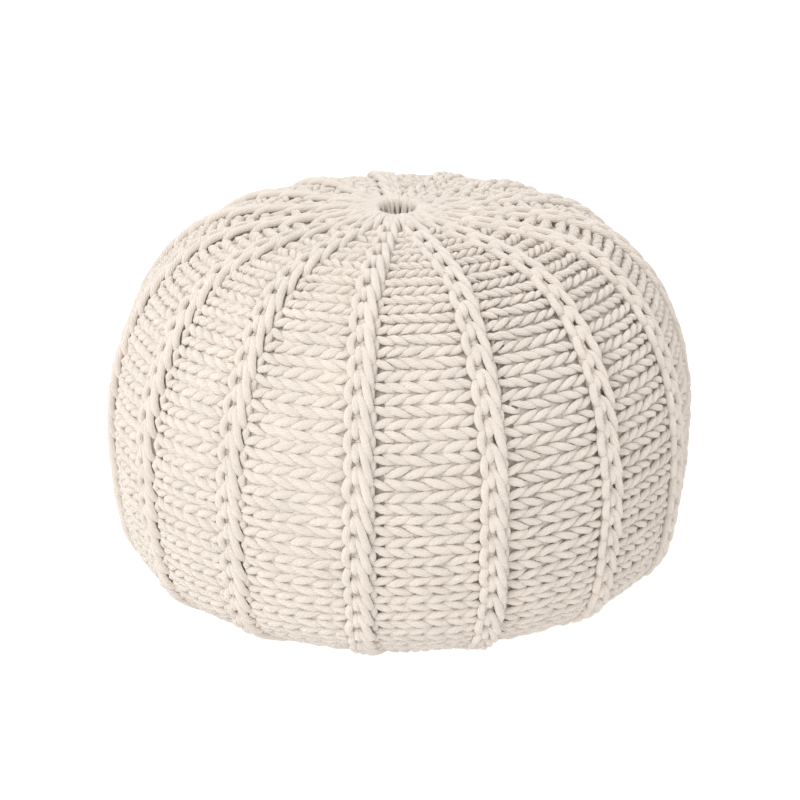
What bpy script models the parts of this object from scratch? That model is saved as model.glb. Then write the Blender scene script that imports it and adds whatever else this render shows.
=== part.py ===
"""Round knitted pouf: a filled knit cover of fifteen gores parted by raised cord ribs.

The cover is gathered into a small well at the top and stands on a flat base.
Metres, +Z up, with the origin in the middle of the base.
"""

import math

import bmesh
import bpy
from mathutils import Vector

# Driving sizes
WIDEST_RADIUS = 0.254        # over the rib crests, so the pouf is 508 mm across
HEIGHT = 0.342               # base to the lip of the well
BASE_RADIUS = 0.125          # the part of the cover that lies flat on the floor
WELL_RADIUS = 0.018          # the gathered hole in the top
WELL_DEPTH = 0.026
LIP_RADIUS = 0.026           # where the cover turns over into the well

# Knit relief
GORES = 15
RIB_WIDTH = 0.025
RIB_SHARE = 0.68             # of a gore's width, where the gores narrow towards the gathers
PANEL_DROP = 0.0042          # from the rib crests in to the middle of a panel
PANEL_SIDE_DROP = 0.0052     # a quarter of the way across it
VALLEY_DROP = 0.0080         # from the rib crests in to the crease beside each rib
GROOVE_DROP = 0.0015         # between the two strands of a rib
FULL_RELIEF_RADIUS = 0.180   # nearer to the gather than this, the ribs are drawn lower
LIP_RELIEF = 0.35            # share of the relief that is left at the lip of the well
FLOOR_RELIEF_HEIGHT = 0.060  # below this height the weight presses the ribs flat

# Degrees from the front, -Y, towards +X: the ribs of the front half stand unevenly, as sewn
FRONT_RIBS = (-80.2, -56.6, -33.1, -7.7, 17.4, 43.2, 67.8, 92.0)

# Hand-made unevenness: the share of the radius, the lobes round the pouf and their turn
SWELLS = ((0.0010, 1, 0.0), (0.0030, 2, -1.6), (0.0010, 7, 4.0))

# Section of the well, from the middle of its floor up to the lip: radius, depth below the lip
WELL = (
    (0.0, WELL_DEPTH),
    (0.012, WELL_DEPTH),
    (0.016, 0.0143),
    (WELL_RADIUS, 0.0065),
    (0.0205, 0.0018),
)

# Outline over the rib crests, from the lip to the base: radius, height
OUTLINE = (
    (LIP_RADIUS, HEIGHT),
    (0.070, 0.3410),
    (0.118, 0.3390),
    (0.158, 0.3305),
    (0.190, 0.3125),
    (0.222, 0.2765),
    (0.243, 0.2305),
    (0.2525, 0.1850),
    (WIDEST_RADIUS, 0.1500),
    (0.2515, 0.1050),
    (0.2420, 0.0580),
    (0.2225, 0.0325),
    (0.1930, 0.0160),
    (0.1560, 0.0050),
    (BASE_RADIUS, 0.0),
)

# Rings of points down the cover
SIDE_RINGS = 36
BASE_RING_RADII = (0.080, 0.040)
SPLINE_STEPS = 12

# Points across one gore: a rib in half widths of the rib, then a panel in shares of its width
RIB_COLUMNS = ((-1.0, VALLEY_DROP), (-0.5, 0.0), (0.0, GROOVE_DROP), (0.5, 0.0), (1.0, VALLEY_DROP))
PANEL_COLUMNS = ((0.25, PANEL_SIDE_DROP), (0.5, PANEL_DROP), (0.75, PANEL_SIDE_DROP))
COLUMNS = len(RIB_COLUMNS) + len(PANEL_COLUMNS)

MERGE_DISTANCE = 0.00001
SHARP_ANGLE = math.radians(60)


def clear_scene():
    for obj in list(bpy.data.objects):
        bpy.data.objects.remove(obj, do_unlink=True)


def smooth_line(points, steps):
    """Catmull-Rom curve through the points."""
    ends = [points[0] * 2 - points[1], *points, points[-1] * 2 - points[-2]]
    line = []
    for before, start, end, after in zip(ends, ends[1:], ends[2:], ends[3:]):
        slope_in = (end - before) / 2
        slope_out = (after - start) / 2
        for step in range(steps):
            share = step / steps
            line.append(start * (2 * share ** 3 - 3 * share ** 2 + 1)
                        + slope_in * (share ** 3 - 2 * share ** 2 + share)
                        + end * (3 * share ** 2 - 2 * share ** 3)
                        + slope_out * (share ** 3 - share ** 2))
    line.append(points[-1])
    return line


def even_line(line, count):
    """The same line with count points at even distances along it."""
    lengths = [0.0]
    for start, end in zip(line, line[1:]):
        lengths.append(lengths[-1] + (end - start).length)
    points = []
    piece = 0
    for index in range(count):
        wanted = lengths[-1] * index / (count - 1)
        while piece < len(line) - 2 and lengths[piece + 1] < wanted:
            piece += 1
        share = (wanted - lengths[piece]) / (lengths[piece + 1] - lengths[piece])
        points.append(line[piece].lerp(line[piece + 1], share))
    return points


def outline_points():
    """Half section from the middle of the well's floor to the middle of the base: radius, height."""
    well = [Vector((radius, HEIGHT - depth)) for radius, depth in WELL]
    side = even_line(smooth_line([Vector(point) for point in OUTLINE], SPLINE_STEPS), SIDE_RINGS)
    base = [Vector((radius, 0.0)) for radius in (*BASE_RING_RADII, 0.0)]
    return well + side + base


def outward(points, index):
    """Unit normal of the outline at a point, away from the filling."""
    before = points[max(index - 1, 0)]
    after = points[min(index + 1, len(points) - 1)]
    along = (after - before).normalized()
    return Vector((-along.y, along.x))


def smooth_share(value):
    share = min(max(value, 0.0), 1.0)
    return share * share * (3 - 2 * share)


def relief(radius, height):
    """Share of the full rib relief: lower towards the well, none where the base is pressed flat."""
    if height > HEIGHT / 2:
        if radius < LIP_RADIUS:
            return LIP_RELIEF * smooth_share((height - HEIGHT + WELL_DEPTH) / WELL_DEPTH)
        drawn_in = smooth_share((radius - LIP_RADIUS) / (FULL_RELIEF_RADIUS - LIP_RADIUS))
        return LIP_RELIEF + (1 - LIP_RELIEF) * drawn_in
    return smooth_share(height / FLOOR_RELIEF_HEIGHT)


def rib_angles():
    """Angle of each rib and of the first one again, a turn on: even spaces fill the back."""
    first, last = FRONT_RIBS[0], FRONT_RIBS[-1]
    back = GORES - len(FRONT_RIBS) + 1
    space = (first + 360 - last) / back
    degrees = [*FRONT_RIBS, *(last + space * (index + 1) for index in range(back))]
    return [math.radians(angle) for angle in degrees]


def gore_columns(radius, gore_angle):
    """Angle from the rib's middle and drop from the crest, for each column of one gore."""
    half_rib = min(RIB_WIDTH, radius * math.tau / GORES * RIB_SHARE) / 2
    panel_width = radius * gore_angle - 2 * half_rib
    columns = [(across * half_rib, drop) for across, drop in RIB_COLUMNS]
    columns += [(half_rib + share * panel_width, drop) for share, drop in PANEL_COLUMNS]
    return [(across / radius, drop) for across, drop in columns]


def swell(angle):
    """Slow hand-made unevenness of the radius round the pouf."""
    return 1 + sum(share * math.sin(lobes * angle + turn) for share, lobes, turn in SWELLS)


def turned_cover(points):
    """The outline turned about the upright axis, with COLUMNS points in each gore."""
    mesh = bpy.data.meshes.new("outline")
    mesh.from_pydata([(point.x, 0.0, point.y) for point in points],
                     [(index, index + 1) for index in range(len(points) - 1)], [])
    outline = bpy.data.objects.new("outline", mesh)
    bpy.context.scene.collection.objects.link(outline)
    screw = outline.modifiers.new("Turn", "SCREW")
    screw.axis = "Z"
    screw.steps = GORES * COLUMNS
    screw.render_steps = screw.steps
    screw.use_merge_vertices = True
    screw.merge_threshold = MERGE_DISTANCE
    evaluated = outline.evaluated_get(bpy.context.evaluated_depsgraph_get())
    cover = bpy.data.meshes.new_from_object(evaluated)
    bpy.data.objects.remove(outline, do_unlink=True)
    return cover


def raise_ribs(cover, points):
    """Move the turned cover's points to the ribs, creases and panels of its knit."""
    column_angle = math.tau / (GORES * COLUMNS)
    ribs = rib_angles()
    body = bmesh.new()
    body.from_mesh(cover)
    bmesh.ops.remove_doubles(body, verts=body.verts, dist=MERGE_DISTANCE)
    for vert in body.verts:
        place = Vector((vert.co.xy.length, vert.co.z))
        if place.x < MERGE_DISTANCE:
            continue
        ring = min(range(len(points)), key=lambda index: (points[index] - place).length_squared)
        column = round(math.atan2(vert.co.y, vert.co.x) / column_angle) % (GORES * COLUMNS)
        gore, step = divmod(column, COLUMNS)
        turn, drop = gore_columns(points[ring].x, ribs[gore + 1] - ribs[gore])[step]
        angle = ribs[gore] + turn
        shaped = points[ring] - outward(points, ring) * drop * relief(*points[ring])
        radius = shaped.x * swell(angle)
        vert.co = (radius * math.sin(angle), -radius * math.cos(angle), shaped.y)
    body.to_mesh(cover)
    body.free()


def cotton_cord():
    """Ivory cotton cord, matte."""
    material = bpy.data.materials.new("cotton_cord")
    material.use_nodes = True
    shader = material.node_tree.nodes["Principled BSDF"]
    shader.inputs["Base Color"].default_value = (0.83, 0.77, 0.68, 1.0)
    shader.inputs["Roughness"].default_value = 0.9
    shader.inputs["Metallic"].default_value = 0.0
    return material


def build():
    clear_scene()
    collection = bpy.data.collections.new("knitted_pouf")
    bpy.context.scene.collection.children.link(collection)
    points = outline_points()
    cover = turned_cover(points)
    raise_ribs(cover, points)
    cover.name = "knit_pouf"
    cover.materials.append(cotton_cord())
    cover.shade_smooth()
    cover.set_sharp_from_angle(angle=SHARP_ANGLE)
    pouf = bpy.data.objects.new("knit_pouf", cover)
    collection.objects.link(pouf)


build()
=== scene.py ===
"""Round knitted pouf: the stitches, ribs and gathers of its cotton cord cover, on a white floor.

Metres, +Z up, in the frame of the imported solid. The cover is knitted sideways in fifteen gores, so its
cords run down the pouf in waves, and the stitches that they make lie on their sides. A chain of long
loops is worked over each join between two gores.
"""

import math

import bmesh
import bpy
import numpy as np
from bpy.props import FloatProperty, FloatVectorProperty, IntProperty, PointerProperty
from mathutils import Matrix, Vector


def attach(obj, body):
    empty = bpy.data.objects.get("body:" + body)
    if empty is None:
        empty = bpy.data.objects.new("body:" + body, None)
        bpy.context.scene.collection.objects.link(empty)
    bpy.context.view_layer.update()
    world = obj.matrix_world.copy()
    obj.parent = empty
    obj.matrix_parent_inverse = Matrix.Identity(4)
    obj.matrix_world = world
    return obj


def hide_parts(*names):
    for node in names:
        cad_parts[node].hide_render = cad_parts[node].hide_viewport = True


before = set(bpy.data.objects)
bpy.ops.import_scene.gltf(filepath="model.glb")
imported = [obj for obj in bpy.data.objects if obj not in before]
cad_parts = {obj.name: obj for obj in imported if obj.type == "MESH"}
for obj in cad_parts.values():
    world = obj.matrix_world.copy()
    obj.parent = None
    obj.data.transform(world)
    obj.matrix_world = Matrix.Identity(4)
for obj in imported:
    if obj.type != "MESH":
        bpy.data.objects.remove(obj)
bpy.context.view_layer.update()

bl_info = {
    "name": "Knitted Pouf",
    "version": (1, 0, 0),
    "blender": (4, 5, 0),
    "location": "3D View > Sidebar > Pouf",
    "description": "Knits the cord cover of a round pouf over its packed solid",
    "category": "Add Mesh",
}

SOLID = "knit_pouf"
MM = 0.001

# The solid's outline over its rib crests, as radius and height, from the floor of the well to the base
TOP_HEIGHT = 0.342
WIDEST_RADIUS = 0.254
LIP_RADIUS = 0.026
WELL_DEPTH = 0.026
WELL_LINE = (
    (0.0, TOP_HEIGHT - WELL_DEPTH),
    (0.006, TOP_HEIGHT - WELL_DEPTH),
    (0.0112, TOP_HEIGHT - 0.0135),
    (0.0140, TOP_HEIGHT - 0.0055),
    (0.0168, TOP_HEIGHT - 0.0009),
)
SIDE_LINE = (
    (LIP_RADIUS, TOP_HEIGHT),
    (0.070, 0.3410),
    (0.118, 0.3390),
    (0.158, 0.3305),
    (0.190, 0.3125),
    (0.222, 0.2765),
    (0.243, 0.2305),
    (0.2525, 0.1850),
    (WIDEST_RADIUS, 0.1500),
    (0.2515, 0.1050),
    (0.2420, 0.0580),
    (0.2225, 0.0345),
    (0.1930, 0.0195),
    (0.1600, 0.0045),
    (0.1460, 0.0),
)
BASE_LINE = ((0.080, 0.0), (0.040, 0.0), (0.0, 0.0))
LINE_STEPS = 24

GORES = 15
FRONT_RIBS = (-80.2, -56.6, -33.1, -7.7, 17.4, 43.2, 67.8, 92.0)  # degrees from the front, -Y, towards +X
SWELLS = ((0.0010, 1, 0.0), (0.0030, 2, -1.6), (0.0010, 7, 4.0))  # share of the radius, lobes, turn
FULL_RELIEF_RADIUS = 0.180
LIP_RELIEF = 0.35
FLOOR_RELIEF_HEIGHT = 0.012
PANEL_DROP = 4.2 * MM  # from the rib crests in to the middle of a panel
PANEL_EDGE_DROP = 6.0 * MM  # and in to its sides
PANEL_RISE = (-1.4 * MM, 12.6 * MM)  # the panel rises between these distances from its side

# The well lies a little behind the middle, and the back of its rim stands higher. Both begin at the first
# of their radii and are full at the second, and they fade out between the two heights.
WELL_SHIFT = 7.0 * MM
WELL_SHIFT_RADII = (132.0 * MM, 22.0 * MM)
WELL_RISE = 2.8 * MM
WELL_RISE_RADII = (72.0 * MM, 12.0 * MM)
WELL_HEIGHTS = (0.200, 0.300)

# Rows of stitches, and mm down from the lip to the holes of the ribs that mark them
HOLE_ARCS = (
    (-5, -22),
    (-3, 28),
    (0, 106),
    (1, 131),
    (2, 152),
    (11, 331),
    (14, 386),
    (18, 453),
    (26, 585),
    (33, 700),
)
UNDER_ROW = 24  # from this row on the cover lies under the pouf
FRONT_SLIPS = (0.0, 0.0, 4.0, 0.6, 4.6, 7.0, 6.0, 3.0)  # mm that the rows sit lower by, for each front rib
SLIP_ROWS = (-1, 5)  # the slip grows to its full between these rows

RIB_FULL_WIDTH = 24.0 * MM
NECK_RIB_WIDTH = 18.0 * MM
NECK_RADIUS = 38.0 * MM  # the ribs meet here and run on as a gather
RIB_TOP_RADIUS = 27.0 * MM  # where the ribs start in the gather of the top
RIB_BASE_RADIUS = 44.0 * MM  # where they end under the base
RIB_SPREAD_RADIUS = 15.0 * MM  # nearer to a pole the strands spread no further round it

# Courses: the cords side by side in a gore, from its left
COURSE_WIDTHS = (0.88, 0.95, 1.06, 1.08, 1.03, 0.90)  # against their mean
COURSE_ENDS = (0.148, 0.102, 0.055, 0.036, 0.078, 0.126)  # radius where each is down to half its width
COURSE_FADE = 20.0 * MM  # of radius, over which a course narrows to nothing
LEAST_COURSE = 0.25  # share of its width at which a course is cut off
LEAST_PANEL_RADIUS = 20.0 * MM  # every course is cut off further out
FULL_COURSE_WIDTH = 14.0 * MM
THIN_CORD = 0.86  # share of its thickness that the cord of a narrow course keeps
FRONT_FULLNESS = (1.06, 1.06, 1.05, 1.0, 0.89, 0.86, 0.90)  # thickness of the cords, by front gore
LEFT_TUCK = 1.2 * MM  # how far a panel runs in under the rib on its left
RIGHT_TUCK = 2.5 * MM

# Unevenness of the hand knitting, as typical departures
ROW_DRIFT = 0.40 * MM
ACROSS_DRIFT = 0.70 * MM
DOWN_DRIFT = 0.55 * MM
DEPTH_DRIFT = 0.50 * MM
THICKNESS_DRIFT = 0.05

# Half a stitch, from its middle: rows down, courses across, mm deep and share of the cord's thickness
HALF_STITCH = (
    (0.00, -0.95, 6.6, 0.84),
    (0.405, -0.68, 2.4, 0.76),
    (0.345, -0.36, 0.4, 1.02),
    (0.25, 0.00, 0.0, 1.10),
    (0.155, 0.36, 0.5, 1.00),
    (0.085, 0.72, 2.4, 0.68),
    (0.50, 0.95, 6.6, 0.84),
)
TOP_SLANT = 0.86  # the stitches slant less on the top
SLANT_ROWS = (1, 7)  # and reach their full slant between these rows


def smooth_share(value):
    """Ease from 0 to 1."""
    share = np.clip(value, 0.0, 1.0)
    return share * share * (3 - 2 * share)


def share_between(value, ends):
    """Ease from 0 at the first end to 1 at the second."""
    start, end = ends
    return smooth_share((value - start) / (end - start))


def smooth_line(points, steps):
    """Catmull-Rom curve through the points, as an array."""
    points = np.array(points, float)
    ends = np.vstack([2 * points[0] - points[1], points, 2 * points[-1] - points[-2]])
    share = (np.arange(steps) / steps)[:, None]
    spans = []
    for before, start, end, after in zip(ends, ends[1:], ends[2:], ends[3:]):
        leave = (end - before) / 2
        arrive = (after - start) / 2
        spans.append(
            start * (2 * share**3 - 3 * share**2 + 1)
            + leave * (share**3 - 2 * share**2 + share)
            + end * (3 * share**2 - 2 * share**3)
            + arrive * (share**3 - share**2)
        )
    return np.vstack([*spans, points[-1:]])


def drift(rng, rows, size):
    """Smooth random drift along a cord: a fresh value each row, eased in between."""
    low = np.floor(rows).astype(int)
    share = smooth_share(rows - low)
    low -= low.min()
    knots = rng.normal(0.0, size, int(low.max()) + 2)
    return knots[low] + (knots[low + 1] - knots[low]) * share


def rib_angles():
    """Angle of each rib and of the first one again, a turn on: even spaces fill the back."""
    first, last = FRONT_RIBS[0], FRONT_RIBS[-1]
    back = GORES - len(FRONT_RIBS) + 1
    space = (first + 360 - last) / back
    degrees = [*FRONT_RIBS, *(last + space * (index + 1) for index in range(back))]
    return np.radians(degrees)


def row_slip(rib, rows):
    """How much lower than the rest the rows beside a rib sit, below the top."""
    slip = FRONT_SLIPS[rib] * MM if rib < len(FRONT_SLIPS) else 0.0
    return slip * share_between(rows, SLIP_ROWS)


def hole_arc(rows):
    """Arc down the cover of a row of stitches: rows are closer towards the base."""
    marks = np.array(HOLE_ARCS, float)
    return np.interp(rows, marks[:, 0], marks[:, 1]) * MM


def hole_row(arc):
    """Row of stitches at an arc down the cover."""
    marks = np.array(HOLE_ARCS, float)
    return float(np.interp(arc / MM, marks[:, 1], marks[:, 0]))


class Cover:
    """The pouf's surface over its rib crests, by angle round it and by arc down it from the lip."""

    def __init__(self):
        line = smooth_line([*WELL_LINE, *SIDE_LINE, *BASE_LINE], LINE_STEPS)
        arc = np.concatenate([[0.0], np.cumsum(np.linalg.norm(np.diff(line, axis=0), axis=1))])
        self.line = line
        self.arc = arc - arc[len(WELL_LINE) * LINE_STEPS]
        along = np.gradient(line, self.arc, axis=0)
        along /= np.linalg.norm(along, axis=1)[:, None]
        self.outward = np.stack([-along[:, 1], along[:, 0]], axis=1)
        self.base_centre = self.arc[-1]
        self.well_centre = self.arc[0]

    def radius(self, arc):
        return np.interp(arc, self.arc, self.line[:, 0])

    def height(self, arc):
        return np.interp(arc, self.arc, self.line[:, 1])

    def top_arc(self, radius):
        """Arc at which the upper half reaches a radius."""
        upper = (self.arc >= 0) & (self.line[:, 1] > TOP_HEIGHT / 2)
        return float(np.interp(radius, self.line[upper, 0], self.arc[upper]))

    def base_arc(self, radius):
        """Arc at which the lower half reaches a radius."""
        lower = self.line[:, 1] < TOP_HEIGHT / 3
        return float(np.interp(-radius, -self.line[lower, 0], self.arc[lower]))

    def relief(self, arc):
        """Share of the full height of the ribs, as on the solid."""
        radius = self.radius(arc)
        height = self.height(arc)
        top = LIP_RELIEF + (1 - LIP_RELIEF) * share_between(radius, (LIP_RADIUS, FULL_RELIEF_RADIUS))
        return np.where(height > TOP_HEIGHT / 2, top, smooth_share(height / FLOOR_RELIEF_HEIGHT))

    def place(self, angle, arc, depth):
        """Points at a depth under the crests, with the uneven outline and the shifted well."""
        radius = self.radius(arc) - np.interp(arc, self.arc, self.outward[:, 0]) * depth
        height = self.height(arc) - np.interp(arc, self.arc, self.outward[:, 1]) * depth
        swell = 1 + sum(share * np.sin(lobes * angle + turn) for share, lobes, turn in SWELLS)
        radius = radius * swell
        above = share_between(height, WELL_HEIGHTS)
        back = WELL_SHIFT * share_between(radius, WELL_SHIFT_RADII) * above
        rise = WELL_RISE * share_between(radius, WELL_RISE_RADII) * above * (1 - np.cos(angle)) / 2
        return np.stack([radius * np.sin(angle), back - radius * np.cos(angle), height + rise], axis=-1)

    def rib_width(self, arc, full):
        """Width of a rib: it narrows towards the poles until the ribs fill the gores."""
        share = (self.radius(arc) - NECK_RADIUS) / (WIDEST_RADIUS - NECK_RADIUS)
        room = self.radius(arc) * math.tau / GORES
        return np.minimum(NECK_RIB_WIDTH + (full - NECK_RIB_WIDTH) * share, room)

    def panel_drop(self, arc, edge):
        """Depth of a panel under the crests, by the distance to its nearer edge."""
        crown = share_between(edge, PANEL_RISE)
        return (PANEL_EDGE_DROP + (PANEL_DROP - PANEL_EDGE_DROP) * crown) * self.relief(arc)


def srgb(value):
    """Linear colour of an sRGB hex value."""
    parts = [int(value[start : start + 2], 16) / 255 for start in (1, 3, 5)]
    linear = [part / 12.92 if part <= 0.04045 else ((part + 0.055) / 1.055) ** 2.4 for part in parts]
    return (*linear, 1.0)


class PoufSettings(bpy.types.PropertyGroup):
    """Sizes and colours of the knitted cover"""

    cord_diameter: FloatProperty(
        name="Cord diameter",
        description="Thickness of the cotton cord",
        default=6.7 * MM,
        unit="LENGTH",
    )
    courses: IntProperty(
        name="Courses",
        description="Cords side by side across one gore",
        default=len(COURSE_WIDTHS),
        min=1,
        max=len(COURSE_WIDTHS),
    )
    rib_width: FloatProperty(
        name="Rib width",
        description="Width of a rib where the pouf is widest",
        default=RIB_FULL_WIDTH,
        unit="LENGTH",
    )
    cord_colour: FloatVectorProperty(
        name="Cord colour",
        description="Natural ivory of the undyed cotton",
        default=srgb("#F0E7DE")[:3],
        subtype="COLOR",
    )


def lay_cords(name, cords, material, radius):
    """One mesh of round cords. Each cord is its points and its thickness along them, as a share."""
    curve = bpy.data.curves.new(name, "CURVE")
    curve.dimensions = "3D"
    curve.bevel_depth = radius
    curve.bevel_resolution = 2
    for points, shares in cords:
        spline = curve.splines.new("POLY")
        spline.points.add(len(points) - 1)
        spline.points.foreach_set("co", np.hstack([points, np.ones((len(points), 1))]).ravel())
        spline.points.foreach_set("radius", np.broadcast_to(shares, len(points)).astype(float))
    path = bpy.data.objects.new(name, curve)
    bpy.context.scene.collection.objects.link(path)
    drawn = path.evaluated_get(bpy.context.evaluated_depsgraph_get())
    mesh = bpy.data.meshes.new_from_object(drawn)
    mesh.name = name
    bpy.data.objects.remove(path)
    bpy.data.curves.remove(curve)
    rest_on_floor(mesh)
    mark_cord_length(mesh, cords)
    close_ends(mesh)
    mesh.materials.clear()
    mesh.materials.append(material)
    mesh.shade_smooth()
    return add_piece(name, mesh)


def rest_on_floor(mesh, softness=0.8 * MM):
    """Press the undersides flat on the floor, with a soft turn into the flat."""
    points = np.empty(len(mesh.vertices) * 3)
    mesh.vertices.foreach_get("co", points)
    height = points[2::3]
    low = height < 6 * softness  # higher up the turn makes no difference
    height[low] = softness * np.log1p(np.exp(height[low] / softness))
    mesh.vertices.foreach_set("co", points)
    mesh.update()


def close_ends(mesh):
    """Cap both ends of every cord."""
    shape = bmesh.new()
    shape.from_mesh(mesh)
    open_edges = [edge for edge in shape.edges if edge.is_boundary]
    bmesh.ops.holes_fill(shape, edges=open_edges, sides=0)
    shape.to_mesh(mesh)
    shape.free()


def mark_cord_length(mesh, cords):
    """Attribute for the twist of the cord: cosine and sine round it, and length along it."""
    sides = len(mesh.vertices) // sum(len(points) for points, _ in cords)
    turn = np.arange(sides) * math.tau / sides
    marks = []
    for points, _ in cords:
        step = np.linalg.norm(np.diff(points, axis=0), axis=1)
        along = np.concatenate([[0.0], np.cumsum(step)])
        ring = np.empty((len(points), sides, 3))
        ring[:, :, 0] = np.cos(turn)
        ring[:, :, 1] = np.sin(turn)
        ring[:, :, 2] = along[:, None]
        marks.append(ring.reshape(-1, 3))
    marks = np.vstack(marks)
    if len(marks) != len(mesh.vertices):
        raise RuntimeError(f"{mesh.name}: {len(mesh.vertices)} points, not {len(marks)}")
    twist = mesh.attributes.new("cord", "FLOAT_VECTOR", "POINT")
    twist.data.foreach_set("vector", marks.ravel())


def add_piece(name, mesh):
    """A piece of the pouf that stands in for its solid."""
    piece = bpy.data.objects.new(name, mesh)
    bpy.context.scene.collection.objects.link(piece)
    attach(piece, "root")
    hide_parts(SOLID)
    return piece


def panel_cords(cover, settings, gore, rng):
    """The wavy cords of one gore, a course each. Neighbours hook into one another as stitches."""
    half = np.array(HALF_STITCH)
    stitch = np.vstack([half, half[-2:0:-1] * (-1, 1, 1, 1) + (1, 0, 0, 0)])
    ends = COURSE_ENDS[: settings.courses]
    first = math.ceil(hole_row(cover.top_arc(min(ends))))
    last = math.floor(hole_row(cover.base_centre))
    count = last - first
    rows, side, sunk, thick = np.tile(stitch, (count, 1)).T
    legs = np.where(rows < 0.5, 0.25, 0.75)  # middles of the two legs of a stitch
    start = np.repeat(np.arange(first, last), len(stitch))
    slant = TOP_SLANT + (1 - TOP_SLANT) * share_between(start, SLANT_ROWS)
    rows = start + legs + (rows - legs) * slant
    ribs = rib_angles()
    level = hole_arc(rows) + row_slip(gore, rows) + drift(rng, rows, ROW_DRIFT)
    radius = np.maximum(cover.radius(level), LEAST_PANEL_RADIUS)
    weights = np.stack([smooth_share((radius - end) / COURSE_FADE + 0.5) for end in ends])
    weights *= np.array(COURSE_WIDTHS)[: settings.courses, None]
    total = np.maximum(weights.sum(axis=0), 0.001)
    before = np.cumsum(weights, axis=0) - weights
    half_rib = cover.rib_width(level, settings.rib_width) / 2
    left = half_rib - LEFT_TUCK
    right = radius * (ribs[gore + 1] - ribs[gore]) - half_rib + RIGHT_TUCK
    fullness = FRONT_FULLNESS[gore] if gore < len(FRONT_FULLNESS) else 1.0
    cords = []
    for course in range(settings.courses):
        kept = weights[course] > LEAST_COURSE
        wide = (right - left) * weights[course] / total
        middle = left + (right - left) * (before[course] + weights[course] / 2) / total
        across = middle + side * wide + drift(rng, rows * 2, ACROSS_DRIFT)
        arc = level + drift(rng, rows * 2, DOWN_DRIFT)
        edge = np.minimum(across - left, right - across)
        radius_shares = np.clip(wide / FULL_COURSE_WIDTH, THIN_CORD, 1.0)
        depth = cover.panel_drop(level, edge) + settings.cord_diameter / 2 * radius_shares
        depth += sunk * MM * radius_shares + drift(rng, rows * 2, DEPTH_DRIFT)
        angle = ribs[gore] + across / radius
        shares = thick * radius_shares * fullness * (1 + drift(rng, rows * 2, THICKNESS_DRIFT))
        points = cover.place(angle, arc, depth)
        cords.append((points[kept], shares[kept]))
    return cords


# Strands of a rib: rows below the hole, then mm from the rib's middle and mm down to the strand's middle
RIB_RIGHT = (
    (0.12, -1.2, 8.2),
    (0.21, -0.6, 5.8),
    (0.32, 0.5, 4.1),
    (0.48, 1.8, 3.5),
    (0.75, 3.2, 3.3),
    (1.02, 4.5, 3.3),
    (1.27, 5.8, 3.6),
    (1.50, 6.7, 5.0),
    (1.66, 7.0, 7.2),
    (1.78, 6.9, 10.0),
)
RIB_MIDDLE = (
    (0.17, -4.4, 8.2),
    (0.25, -4.4, 6.0),
    (0.36, -4.1, 4.2),
    (0.51, -3.7, 3.6),
    (0.63, -3.6, 4.2),
    (0.70, -3.7, 6.0),
    (0.75, -3.9, 8.2),
)
RIB_LEFT = (
    (0.46, -6.2, 9.5),
    (0.57, -7.8, 6.2),
    (0.72, -9.6, 4.8),
    (0.90, -10.6, 4.4),
    (1.06, -10.7, 4.4),
    (1.22, -9.8, 4.8),
    (1.35, -8.2, 6.2),
    (1.45, -6.6, 9.0),
)
RIB_STRANDS = ((RIB_RIGHT, 1.03), (RIB_MIDDLE, 0.98), (RIB_LEFT, 1.02))  # with their thickness

# Cords behind the strands: mm from the rib's middle, mm down, how far they wave in and out, and thickness
RIB_BACKS = ((-7.0, 9.5, 0.0, 0.95), (-1.5, 10.4, 0.0, 1.40), (9.2, 10.6, 2.2, 1.05))

# Share of its thickness that a strand would keep in a rib of no width, what the full width adds to it, up
# to 1, and the least share that a cord behind keeps
THIN_STRAND = 0.60
STRAND_GROWTH = 0.45
THIN_BACK = 0.70
BACK_STEP = 0.5  # rows from one point of a cord behind to the next, and half of that where it waves

# Unevenness of the ribs, as typical departures
RIB_WANDER = 0.7  # mm to the side, of the whole rib
RIB_ROW_SHIFT = 0.5 * MM  # up or down, of a row
STRAND_LEAN = 0.35  # mm to the side
STRAND_SINK = 0.25  # mm in or out
STRAND_SLIDE = 0.4 * MM  # up or down
STRAND_SWELL = 0.03  # share of the thickness
BACK_WANDER = 0.6  # mm to the side, of a cord behind
BACK_SINK = 0.4  # mm in or out


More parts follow.
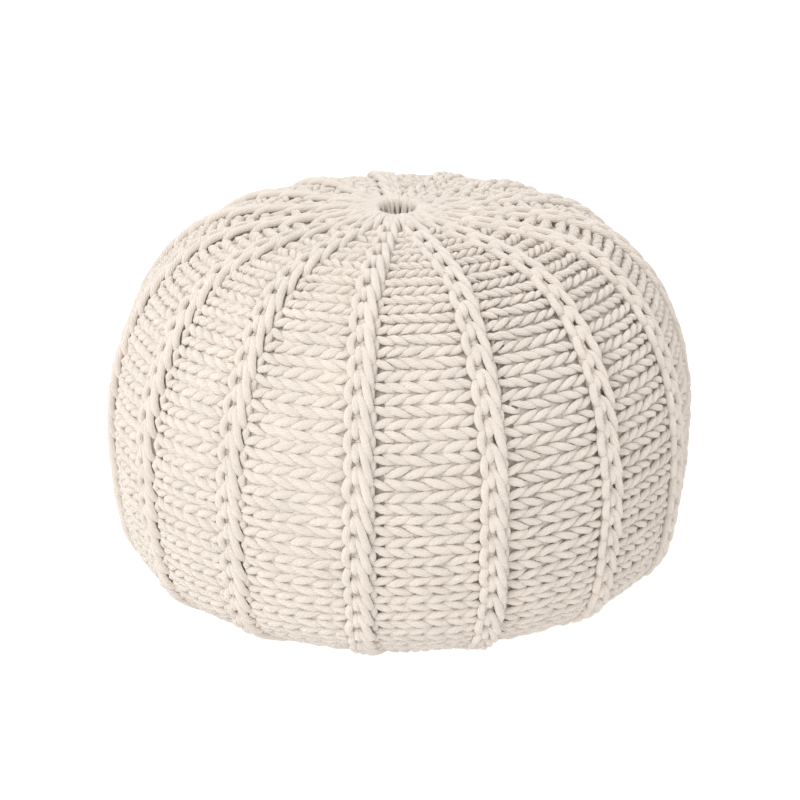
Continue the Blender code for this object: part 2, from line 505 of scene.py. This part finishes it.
def rib_cords(cover, settings, rib, rng):
    """The strands of one rib, and the plain cords behind them that close its gaps.

    There are three strands to a row: a long one on the right, shorter ones in the middle and on the left.
    """
    first = math.floor(hole_row(cover.top_arc(RIB_TOP_RADIUS)))
    last = math.floor(hole_row(cover.base_arc(RIB_BASE_RADIUS))) - 1
    middle = rib_angles()[rib]
    wander = drift(rng, np.arange(first, last) / 2, RIB_WANDER)
    cords = []
    for row in range(first, last):
        shift = row_slip(rib, row) + rng.normal(0, RIB_ROW_SHIFT)
        for strand, thickness in RIB_STRANDS:
            line = smooth_line(strand, 2 if row < UNDER_ROW else 1)
            lean, sink, slide, swell = rng.normal(0, 1, 4)
            arc = hole_arc(row + line[:, 0]) + shift + slide * STRAND_SLIDE
            width = cover.rib_width(arc, settings.rib_width) / RIB_FULL_WIDTH
            across = (line[:, 1] + STRAND_LEAN * lean + wander[row - first]) * MM * width
            depth = (line[:, 2] + STRAND_SINK * sink) * MM
            angle = middle + across / np.maximum(cover.radius(arc), RIB_SPREAD_RADIUS)
            slim = np.minimum(THIN_STRAND + STRAND_GROWTH * width, 1.0)
            cords.append((cover.place(angle, arc, depth), thickness * slim * (1 + STRAND_SWELL * swell)))
    for across, depth, swing, thickness in RIB_BACKS:
        rows = np.arange(first + 1, UNDER_ROW + 1, BACK_STEP / 2 if swing else BACK_STEP)
        arc = hole_arc(rows) + row_slip(rib, rows)
        width = cover.rib_width(arc, settings.rib_width) / RIB_FULL_WIDTH
        angle = middle + (across * width + drift(rng, rows, BACK_WANDER)) * MM / cover.radius(arc)
        down = (depth - swing * np.cos(math.tau * rows) + drift(rng, rows * 2, BACK_SINK)) * MM
        cords.append((cover.place(angle, arc, down), thickness * np.clip(width, THIN_BACK, 1.0)))
    return cords


FOLDS = 40  # of the gathered cords round each pole
FOLD_STEP = 3.5 * MM  # from one point of a fold to the next
LEAST_FOLD_POINTS = 12
FOLD_RADIUS = 3.6 * MM  # of a squeezed cord that has room
FOLD_FILL = 0.68  # radius of a fold on the top and the base, as a share of its room
WELL_FILL = 0.27  # what the well's wall adds to that share
WELL_WALL = (0.0, 8.0 * MM)  # distances inside the lip between which the folds close up
WELL_CALM = 0.5  # share of their swing to the side that the folds lose there
FOLD_START_DROP = 4.0 * MM  # the folds come up from this far under the stitches
FOLD_START = 0.25  # over this share of their length
POCKET_DEPTH = 8.0 * MM  # most that a fold falls back at the bottom of the well, which leaves dark pockets
POCKET_START = (13.0 * MM, 21.0 * MM)  # distances inside the lip between which it does

# Unevenness of the folds
FOLD_WANDER = 0.3  # to the side, as a share of a fold's room
FOLD_WAVE = 0.10
FOLD_WAVES = 8  # along a fold
FOLD_SWELLS = (0.80, 1.15)  # thinnest and thickest fold
FOLD_SWELL_DRIFT = 0.06
FOLD_SINK = 0.8 * MM


def gather_cords(cover, settings, arcs, rng):
    """Squeezed cords that run together in uneven folds towards a pole between two arcs."""
    start, end = arcs
    share = np.linspace(0, 1, max(LEAST_FOLD_POINTS, int(abs(end - start) / FOLD_STEP)))
    arc = start + (end - start) * share
    radius = np.maximum(cover.radius(arc), 1.0 * MM)
    room = radius * math.tau / FOLDS
    inside = share_between(-arc, WELL_WALL)
    thickness = np.minimum(room * (FOLD_FILL + WELL_FILL * inside), FOLD_RADIUS)
    cords = []
    for number in range(FOLDS):
        wave = rng.uniform(-FOLD_WANDER, FOLD_WANDER) + drift(rng, share * FOLD_WAVES, FOLD_WAVE)
        angle = (number + wave * (1 - WELL_CALM * inside)) * math.tau / FOLDS
        swell = rng.uniform(*FOLD_SWELLS) * (1 + drift(rng, share * FOLD_WAVES, FOLD_SWELL_DRIFT))
        sunk = FOLD_START_DROP * (1 - smooth_share(share / FOLD_START)) + rng.uniform(0, FOLD_SINK)
        sunk += rng.uniform(0, POCKET_DEPTH) * share_between(-arc, POCKET_START)
        shares = thickness * 2 / settings.cord_diameter * swell
        cords.append((cover.place(angle, arc, thickness * swell + sunk), shares))
    return cords


def add_node(tree, kind, settings=None, inputs=None, links=None):
    """A node with its settings, socket values and incoming links."""
    node = tree.nodes.new(kind)
    for name, value in (settings or {}).items():
        setattr(node, name, value)
    for socket, value in (inputs or {}).items():
        node.inputs[socket].default_value = value
    for socket, source in (links or {}).items():
        tree.links.new(source, node.inputs[socket])
    return node


PLIES = 8  # fewer than in the cord, whose own lines are too fine to show
PLY_TWIST = 28.0 * MM  # length of one turn of the plies
PLY_TANGLE = 9.0  # how far the lines stray from even ones, in radians
TANGLES_PER_MM = 0.26
FUZZ_PER_MM = 0.52  # coarser than the real fibres, which are too fine to show
FUZZ_HEIGHT = 4.0  # against the height of the plies
CORD_RELIEF = 0.21 * MM
DRAWN_CORD_RELIEF = 0.20 * MM
PATCHES_PER_MM = 0.045
PATCH_SHADE = 0.93
THREADS_PER_MM = 0.9  # fewer than in the real cloth, whose threads are too fine to show


def ply_bump(tree, place, relief):
    """Bump of the slanting lines between the plies of a cord and of the short fuzz on them."""
    mark = add_node(tree, "ShaderNodeAttribute", {"attribute_name": "cord"})
    parts = add_node(tree, "ShaderNodeSeparateXYZ", links={0: mark.outputs["Vector"]})
    around = add_node(
        tree,
        "ShaderNodeMath",
        {"operation": "ARCTAN2"},
        links={0: parts.outputs["Y"], 1: parts.outputs["X"]},
    )
    plies = add_node(
        tree, "ShaderNodeMath", {"operation": "MULTIPLY"}, {1: PLIES}, {0: around.outputs[0]}
    )
    phase = add_node(
        tree,
        "ShaderNodeMath",
        {"operation": "MULTIPLY_ADD"},
        {1: PLIES * math.tau / PLY_TWIST},
        {0: parts.outputs["Z"], 2: plies.outputs[0]},
    )
    tangle = add_node(
        tree,
        "ShaderNodeTexNoise",
        inputs={"Scale": TANGLES_PER_MM / MM, "Detail": 2.0},
        links={"Vector": place},
    )
    loose = add_node(
        tree,
        "ShaderNodeMath",
        {"operation": "MULTIPLY_ADD"},
        {1: PLY_TANGLE},
        {0: tangle.outputs["Fac"], 2: phase.outputs[0]},
    )
    ridge = add_node(tree, "ShaderNodeMath", {"operation": "SINE"}, links={0: loose.outputs[0]})
    fuzz = add_node(
        tree,
        "ShaderNodeTexNoise",
        inputs={"Scale": FUZZ_PER_MM / MM, "Detail": 4.0, "Roughness": 0.7},
        links={"Vector": place},
    )
    height = add_node(
        tree,
        "ShaderNodeMath",
        {"operation": "MULTIPLY_ADD"},
        {1: FUZZ_HEIGHT},
        {0: fuzz.outputs["Fac"], 2: ridge.outputs[0]},
    )
    return add_node(
        tree,
        "ShaderNodeBump",
        inputs={"Strength": 1.0, "Distance": relief},
        links={"Height": height.outputs[0]},
    )


def patchy_tone(tree, place, colour):
    """The colour of the undyed cotton, a little darker in soft patches."""
    patches = add_node(
        tree,
        "ShaderNodeTexNoise",
        inputs={"Scale": PATCHES_PER_MM / MM, "Detail": 2.0},
        links={"Vector": place},
    )
    tone = add_node(tree, "ShaderNodeValToRGB", links={0: patches.outputs["Fac"]})
    dark, pale = tone.color_ramp.elements
    dark.position = 0.30
    dark.color = (*(PATCH_SHADE * part for part in colour), 1.0)
    pale.position = 0.70
    pale.color = (*colour, 1.0)
    return tone


def twisted_cotton_cord(colour, name="twisted_cotton_cord", relief=CORD_RELIEF):
    """Undyed cotton, twisted from soft plies: matt, warm, with slanting lines and short fuzz."""
    material = bpy.data.materials.get(name)
    if material:
        return material
    material = bpy.data.materials.new(name)
    material.use_nodes = True
    tree = material.node_tree
    shader = tree.nodes["Principled BSDF"]
    shader.inputs["Roughness"].default_value = 0.95
    shader.inputs["Specular IOR Level"].default_value = 0.15
    shader.inputs["Diffuse Roughness"].default_value = 1.0
    shader.inputs["Sheen Weight"].default_value = 0.30
    shader.inputs["Sheen Roughness"].default_value = 0.60
    shader.inputs["Sheen Tint"].default_value = srgb("#FFF8EE")
    place = add_node(tree, "ShaderNodeTexCoord").outputs["Object"]
    bump = ply_bump(tree, place, relief)
    tree.links.new(bump.outputs["Normal"], shader.inputs["Normal"])
    tone = patchy_tone(tree, place, colour)
    tree.links.new(tone.outputs["Color"], shader.inputs["Base Color"])
    return material


def lining_cloth_with_painted_shade():
    """Plain-woven cotton lining, pale and undyed, matt, with a faint grain of threads. Its colour is toned
    a little darker and warmer than the pale cloth as painted shade, so that where it shows between the
    stitches it passes for cord in shade.
    """
    material = bpy.data.materials.new("lining_cloth_with_painted_shade")
    material.use_nodes = True
    tree = material.node_tree
    shader = tree.nodes["Principled BSDF"]
    # Painted shade: the lining's colour is toned darker and warmer than the pale cloth, so that in the
    # gaps between the stitches it passes for cord in shade.
    shader.inputs["Base Color"].default_value = srgb("#E6DDD2")
    shader.inputs["Roughness"].default_value = 0.9
    place = add_node(tree, "ShaderNodeTexCoord")
    weave = add_node(
        tree,
        "ShaderNodeTexNoise",
        inputs={"Scale": THREADS_PER_MM / MM, "Detail": 1.0},
        links={"Vector": place.outputs["Object"]},
    )
    bump = add_node(
        tree,
        "ShaderNodeBump",
        inputs={"Strength": 0.2, "Distance": 0.2 * MM},
        links={"Height": weave.outputs["Fac"]},
    )
    tree.links.new(bump.outputs["Normal"], shader.inputs["Normal"])
    return material


PAPER_GLOW = 0.87


def white_paper():
    """White background paper: matt, and so evenly lit that it glows and takes only a faint shadow."""
    material = bpy.data.materials.new("white_background_paper")
    material.use_nodes = True
    shader = material.node_tree.nodes["Principled BSDF"]
    shader.inputs["Base Color"].default_value = srgb("#898989")
    shader.inputs["Roughness"].default_value = 1.0
    shader.inputs["Specular IOR Level"].default_value = 0.0
    shader.inputs["Emission Color"].default_value = srgb("#FFFFFF")
    shader.inputs["Emission Strength"].default_value = PAPER_GLOW
    return material


CUSHION_STEPS = 10 * GORES
CUSHION_RINGS = 100
CUSHION_GAP = 5.0 * MM  # from the top of a panel's cords down to the lining
FRONT_GAPS = (4.0, 3.6, 3.8, 5.1, 6.0, 6.1, 5.8)  # the same in mm, for each front gore
CUSHION_CREASE = 3.2 * MM  # deeper still beside each rib, where the next gore hangs from it
CREASE_MIDDLE = 2.0 * MM  # from the rib's side
CREASE_REACH = 8.0 * MM  # to both sides of its middle
CREASE_FULL_RADIUS = 60.0 * MM  # nearer to a pole it fades out
WELL_LINING_DEPTH = 15.0 * MM
LINING_LIFT = 2.5 * MM  # above the floor
POLE_RADIUS = 0.1 * MM
MERGE_DISTANCE = 0.01 * MM


def turned_mesh(name, profile, steps):
    """A closed mesh turned from a profile of radius and height between two poles."""
    shape = bmesh.new()
    verts = [shape.verts.new((0.0, -radius, height)) for radius, height in profile]
    edges = [shape.edges.new(pair) for pair in zip(verts, verts[1:])]
    bmesh.ops.spin(
        shape,
        geom=[*verts, *edges],
        cent=(0, 0, 0),
        axis=(0, 0, 1),
        angle=math.tau,
        steps=steps,
        use_merge=True,
    )
    bmesh.ops.remove_doubles(shape, verts=shape.verts, dist=MERGE_DISTANCE)
    bmesh.ops.recalc_face_normals(shape, faces=shape.faces)
    mesh = bpy.data.meshes.new(name)
    shape.to_mesh(mesh)
    shape.free()
    mesh.shade_smooth()
    return mesh


def press_in_ribs(mesh, cover, arc, rib_width):
    """Sink the turned cushion under the cover, deeper on one side of each rib."""
    points = np.empty(len(mesh.vertices) * 3)
    mesh.vertices.foreach_get("co", points)
    points = points.reshape(-1, 3)
    outline = np.stack([cover.radius(arc), cover.height(arc)], axis=1)
    here = np.stack([np.hypot(points[:, 0], points[:, 1]), points[:, 2]], axis=1)
    ring = np.argmin(np.linalg.norm(here[:, None, :] - outline[None, :, :], axis=2), axis=1)
    angle = np.arctan2(points[:, 0], -points[:, 1])
    ribs = rib_angles()
    turns = np.mod(angle[:, None] - ribs[None, :-1] + math.pi, math.tau) - math.pi
    from_rib = turns[np.arange(len(turns)), np.abs(turns).argmin(axis=1)]
    level = arc[ring]
    edge = np.abs(from_rib) * here[:, 0] - rib_width / 2
    crease = 1 - smooth_share(np.abs(edge - CREASE_MIDDLE) / CREASE_REACH)
    crease *= (from_rib > 0) * smooth_share(here[:, 0] / CREASE_FULL_RADIUS)
    gaps = np.full(GORES, CUSHION_GAP)
    gaps[: len(FRONT_GAPS)] = np.array(FRONT_GAPS) * MM
    gore = np.searchsorted(ribs, np.mod(angle - ribs[0], math.tau) + ribs[0], side="right") - 1
    depth = cover.panel_drop(level, edge) + gaps[gore.clip(0, GORES - 1)] + CUSHION_CREASE * crease
    depth[level < 0] = WELL_LINING_DEPTH
    placed = cover.place(angle, level, depth)
    placed[:, 2] = np.maximum(placed[:, 2], LINING_LIFT)
    placed[here[:, 0] < POLE_RADIUS, :2] = 0.0
    mesh.vertices.foreach_set("co", placed.ravel())
    mesh.update()


PANEL_SEED = 15
RIB_SEED = 24
GATHER_SEED = 38
TOP_GATHER_RADIUS = 36.0 * MM
TOP_GATHER_END = 5.0 * MM  # short of the middle of the well's floor
BASE_GATHER_RADIUS = 50.0 * MM
BASE_GATHER_END = 2.0 * MM  # short of the middle of the base


class POUF_OT_inner_cushion(bpy.types.Operator):
    """Turn the lined, filled cushion that shows between the stitches"""

    bl_idname = "pouf.inner_cushion"
    bl_label = "Inner cushion"

    def execute(self, context):
        settings = context.scene.pouf
        cover = Cover()
        arc = np.linspace(cover.well_centre, cover.base_centre, CUSHION_RINGS)
        profile = np.stack([cover.radius(arc), cover.height(arc)], axis=1)
        profile[[0, -1], 0] = 0.0
        mesh = turned_mesh("inner_cushion", profile.tolist(), CUSHION_STEPS)
        press_in_ribs(mesh, cover, arc, settings.rib_width)
        mesh.materials.append(lining_cloth_with_painted_shade())
        piece = add_piece("inner_cushion", mesh)
        return {"FINISHED"}


class POUF_OT_knit_panels(bpy.types.Operator):
    """Knit the fifteen gores of sideways stitches"""

    bl_idname = "pouf.knit_panels"
    bl_label = "Knit panels"

    def execute(self, context):
        settings = context.scene.pouf
        cover = Cover()
        rng = np.random.default_rng(PANEL_SEED)
        material = twisted_cotton_cord(settings.cord_colour)
        for gore in range(GORES):
            cords = panel_cords(cover, settings, gore, rng)
            lay_cords(f"knit_panel_{gore + 1:02d}", cords, material, settings.cord_diameter / 2)
        return {"FINISHED"}


class POUF_OT_rib_chains(bpy.types.Operator):
    """Work the chain of long loops over each join between gores"""

    bl_idname = "pouf.rib_chains"
    bl_label = "Rib chains"

    def execute(self, context):
        settings = context.scene.pouf
        cover = Cover()
        rng = np.random.default_rng(RIB_SEED)
        material = twisted_cotton_cord(settings.cord_colour)
        for rib in range(GORES):
            cords = rib_cords(cover, settings, rib, rng)
            lay_cords(f"rib_chain_{rib + 1:02d}", cords, material, settings.cord_diameter / 2)
        return {"FINISHED"}


class POUF_OT_gathers(bpy.types.Operator):
    """Draw the cords together into the well at the top and under the middle of the base"""

    bl_idname = "pouf.gathers"
    bl_label = "Gathers"

    def execute(self, context):
        settings = context.scene.pouf
        cover = Cover()
        rng = np.random.default_rng(GATHER_SEED)
        material = twisted_cotton_cord(settings.cord_colour, "drawn_cotton_cord", DRAWN_CORD_RELIEF)
        ends = {
            "top_gather": (cover.top_arc(TOP_GATHER_RADIUS), cover.well_centre + TOP_GATHER_END),
            "base_gather": (cover.base_arc(BASE_GATHER_RADIUS), cover.base_centre - BASE_GATHER_END),
        }
        for name, arcs in ends.items():
            lay_cords(name, gather_cords(cover, settings, arcs, rng), material, settings.cord_diameter / 2)
        return {"FINISHED"}


CAMERA_DISTANCE = 2.0855
CAMERA_ELEVATION = math.radians(21.583)
CAMERA_ROLL = math.radians(0.764)
CAMERA_TARGET = Vector((0.0, 0.0, 0.168))
CAMERA_LENS = 107.63
SKY_STRENGTH = 0.91
SOFTBOX_PLACE = Vector((-1.75, -2.0, 3.0))
SOFTBOX_TARGET = Vector((0.0, 0.0, 0.17))
SOFTBOX_SIZE = 2.6
SOFTBOX_POWER = 60
FLOOR_REACH = 20.0


def facing(place, target, roll=0.0):
    """World matrix of a camera or light at a place that looks at a target."""
    turn = (place - target).to_track_quat("Z", "Y").to_matrix().to_4x4()
    return Matrix.Translation(place) @ turn @ Matrix.Rotation(roll, 4, "Z")


def hang_softbox():
    """The large soft light from the front left."""
    data = bpy.data.lights.new("key", "AREA")
    data.shape = "SQUARE"
    data.size = SOFTBOX_SIZE
    data.energy = SOFTBOX_POWER
    light = bpy.data.objects.new("key", data)
    bpy.context.scene.collection.objects.link(light)
    light.matrix_world = facing(SOFTBOX_PLACE, SOFTBOX_TARGET)


class POUF_OT_stage(bpy.types.Operator):
    """Lay the white floor, hang the soft lights and set the camera"""

    bl_idname = "pouf.stage"
    bl_label = "Stage"

    def execute(self, context):
        scene = context.scene
        floor = bpy.data.meshes.new("floor")
        shape = bmesh.new()
        bmesh.ops.create_grid(shape, x_segments=1, y_segments=1, size=FLOOR_REACH)
        shape.to_mesh(floor)
        shape.free()
        floor.materials.append(white_paper())
        stage = bpy.data.objects.new("floor", floor)
        scene.collection.objects.link(stage)

        scene.world = bpy.data.worlds.new("studio")
        scene.world.use_nodes = True
        sky = scene.world.node_tree.nodes["Background"]
        sky.inputs["Color"].default_value = (1, 1, 1, 1)
        sky.inputs["Strength"].default_value = SKY_STRENGTH
        hang_softbox()

        data = bpy.data.cameras.new("camera")
        data.sensor_width = 36.0
        data.lens = CAMERA_LENS
        camera = bpy.data.objects.new("camera", data)
        scene.collection.objects.link(camera)
        away = Vector((0, -math.cos(CAMERA_ELEVATION), math.sin(CAMERA_ELEVATION)))
        camera.matrix_world = facing(CAMERA_TARGET + away * CAMERA_DISTANCE, CAMERA_TARGET, -CAMERA_ROLL)
        scene.camera = camera
        scene.view_settings.view_transform = "Standard"
        return {"FINISHED"}


STEPS = (
    POUF_OT_inner_cushion,
    POUF_OT_knit_panels,
    POUF_OT_rib_chains,
    POUF_OT_gathers,
    POUF_OT_stage,
)


class POUF_PT_sidebar(bpy.types.Panel):
    """Settings and steps of the knitted pouf"""

    bl_idname = "POUF_PT_sidebar"
    bl_label = "Knitted pouf"
    bl_space_type = "VIEW_3D"
    bl_region_type = "UI"
    bl_category = "Pouf"

    def draw(self, context):
        settings = context.scene.pouf
        for name in settings.__annotations__:
            self.layout.prop(settings, name)
        for step in STEPS:
            self.layout.operator(step.bl_idname)


CLASSES = (PoufSettings, *STEPS, POUF_PT_sidebar)


def register():
    for cls in CLASSES:
        bpy.utils.register_class(cls)
    bpy.types.Scene.pouf = PointerProperty(type=PoufSettings)


def unregister():
    del bpy.types.Scene.pouf
    for cls in reversed(CLASSES):
        bpy.utils.unregister_class(cls)


def main():
    register()
    bpy.ops.pouf.inner_cushion()
    bpy.ops.pouf.knit_panels()
    bpy.ops.pouf.rib_chains()
    bpy.ops.pouf.gathers()
    bpy.ops.pouf.stage()


if __name__ == "__main__":
    main()
